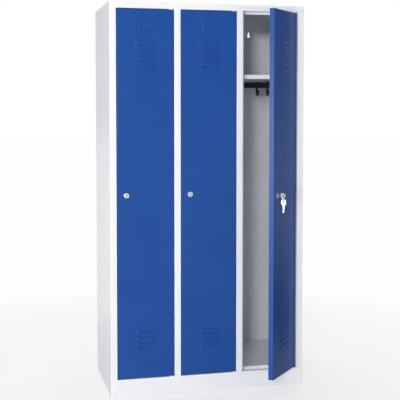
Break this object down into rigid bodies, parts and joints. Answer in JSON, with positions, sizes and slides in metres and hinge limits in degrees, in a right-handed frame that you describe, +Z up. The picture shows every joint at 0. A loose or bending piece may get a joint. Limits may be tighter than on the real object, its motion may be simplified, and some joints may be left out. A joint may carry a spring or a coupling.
{
  "type": "locker cabinet",
  "caption": "Tall steel wardrobe cabinet with side-hinged locking doors, louvre vents, hat shelves, clothes rails and sliding coat hooks; one door stands open.",
  "frame": {"origin": "centre of the cabinet's footprint at floor level", "axes": "+Z up, +Y from the doors towards the back, +X to the right when facing the doors"},
  "size_m": [0.92, 0.6829, 1.8],
  "materials": {
    "frame_coat": "semi-gloss light grey powder coat",
    "door_coat": "semi-gloss gentian blue powder coat",
    "rail_black": "satin black coat on oval steel tube",
    "black_plastic": "moulded black polyamide",
    "nylon": "natural nylon",
    "buffer_rubber": "black rubber pad",
    "nickel": "nickel-plated die casting",
    "key_nickel": "nickel-plated brass key",
    "zinc": "zinc-plated steel"
  },
  "bodies": {
    "cabinet": {"left_side_panel": "frame_coat", "right_side_panel": "frame_coat", "back_panel": "frame_coat", "roof_panel": "frame_coat", "base_panel": "frame_coat", "plinth_front": "frame_coat", "mid_stile_1": "frame_coat", "mid_stile_2": "frame_coat", "partition_1": "frame_coat", "partition_2": "frame_coat", "hat_shelf_1": "frame_coat", "hat_shelf_2": "frame_coat", "hat_shelf_3": "frame_coat", "clothes_rail_1": "rail_black", "clothes_rail_2": "rail_black", "clothes_rail_3": "rail_black", "rail_sockets": "black_plastic", "hinge_lugs": "frame_coat", "hinge_pins": "zinc"},
    "door_1": {"door_1_skin": "door_coat", "door_1_stiffener": "door_coat", "door_1_bushes": "nylon", "door_1_buffers": "buffer_rubber", "lock_1_housing": "nickel", "lock_1_nut": "zinc"},
    "lock_1": {"lock_1_plug": "nickel", "lock_1_cam": "zinc", "lock_1_cam_screw": "zinc"},
    "door_2": {"door_2_skin": "door_coat", "door_2_stiffener": "door_coat", "door_2_bushes": "nylon", "door_2_buffers": "buffer_rubber", "lock_2_housing": "nickel", "lock_2_nut": "zinc"},
    "lock_2": {"lock_2_plug": "nickel", "lock_2_cam": "zinc", "lock_2_cam_screw": "zinc"},
    "door_3": {"door_3_skin": "door_coat", "door_3_stiffener": "door_coat", "door_3_bushes": "nylon", "door_3_buffers": "buffer_rubber", "lock_3_housing": "nickel", "lock_3_nut": "zinc"},
    "lock_3": {"lock_3_plug": "nickel", "lock_3_cam": "zinc", "lock_3_cam_screw": "zinc", "key_in_lock": "key_nickel"},
    "key_ring": {"key_ring": "key_nickel"},
    "spare_key": {"spare_key": "key_nickel"},
    "hook_1_a": {"hook_1_a": "black_plastic"},
    "hook_1_b": {"hook_1_b": "black_plastic"},
    "hook_1_c": {"hook_1_c": "black_plastic"},
    "hook_2_a": {"hook_2_a": "black_plastic"},
    "hook_2_b": {"hook_2_b": "black_plastic"},
    "hook_2_c": {"hook_2_c": "black_plastic"},
    "hook_3_a": {"hook_3_a": "black_plastic"},
    "hook_3_b": {"hook_3_b": "black_plastic"},
    "hook_3_c": {"hook_3_c": "black_plastic"}
  },
  "joints": [
    {"name": "door_1_hinge", "type": "hinge", "parent": "cabinet", "child": "door_1", "pos_m": [-0.17833, -0.244, 0.925], "axis": [0, 0, 1], "range_deg": [0, 110]},
    {"name": "lock_1_turn", "type": "hinge", "parent": "door_1", "child": "lock_1", "pos_m": [-0.385, -0.25, 0.925], "axis": [0, 1, 0], "range_deg": [0, 90]},
    {"name": "door_2_hinge", "type": "hinge", "parent": "cabinet", "child": "door_2", "pos_m": [0.11833, -0.244, 0.925], "axis": [0, 0, 1], "range_deg": [0, 110]},
    {"name": "lock_2_turn", "type": "hinge", "parent": "door_2", "child": "lock_2", "pos_m": [-0.08833, -0.25, 0.925], "axis": [0, 1, 0], "range_deg": [0, 90]},
    {"name": "door_3_hinge", "type": "hinge", "parent": "cabinet", "child": "door_3", "pos_m": [0.415, -0.244, 0.925], "axis": [0, 0, 1], "range_deg": [-48.3, 61.7]},
    {"name": "lock_3_turn", "type": "hinge", "parent": "door_3", "child": "lock_3", "pos_m": [0.282, -0.4023, 0.925], "axis": [-0.7466, 0.6652, 0], "range_deg": [0, 90]},
    {"name": "key_ring_swing", "type": "hinge", "parent": "lock_3", "child": "key_ring", "pos_m": [0.30477, -0.42259, 0.9228], "axis": [-0.6652, -0.7466, 0], "range_deg": [-15, 60]},
    {"name": "spare_key_swing", "type": "hinge", "parent": "key_ring", "child": "spare_key", "pos_m": [0.30477, -0.42259, 0.9012], "axis": [-0.6652, -0.7466, 0], "range_deg": [-6, 60]},
    {"name": "hook_1_a_slide", "type": "slide", "parent": "cabinet", "child": "hook_1_a", "axis": [1, 0, 0], "range_m": [-0.065, 0.033]},
    {"name": "hook_1_b_slide", "type": "slide", "parent": "cabinet", "child": "hook_1_b", "axis": [1, 0, 0], "range_m": [-0.033, 0.02]},
    {"name": "hook_1_c_slide", "type": "slide", "parent": "cabinet", "child": "hook_1_c", "axis": [1, 0, 0], "range_m": [-0.02, 0.085]},
    {"name": "hook_2_a_slide", "type": "slide", "parent": "cabinet", "child": "hook_2_a", "axis": [1, 0, 0], "range_m": [-0.065, 0.033]},
    {"name": "hook_2_b_slide", "type": "slide", "parent": "cabinet", "child": "hook_2_b", "axis": [1, 0, 0], "range_m": [-0.033, 0.02]},
    {"name": "hook_2_c_slide", "type": "slide", "parent": "cabinet", "child": "hook_2_c", "axis": [1, 0, 0], "range_m": [-0.02, 0.071]},
    {"name": "hook_3_a_slide", "type": "slide", "parent": "cabinet", "child": "hook_3_a", "axis": [1, 0, 0], "range_m": [-0.065, 0.033]},
    {"name": "hook_3_b_slide", "type": "slide", "parent": "cabinet", "child": "hook_3_b", "axis": [1, 0, 0], "range_m": [-0.033, 0.02]},
    {"name": "hook_3_c_slide", "type": "slide", "parent": "cabinet", "child": "hook_3_c", "axis": [1, 0, 0], "range_m": [-0.02, 0.085]}
  ]
}
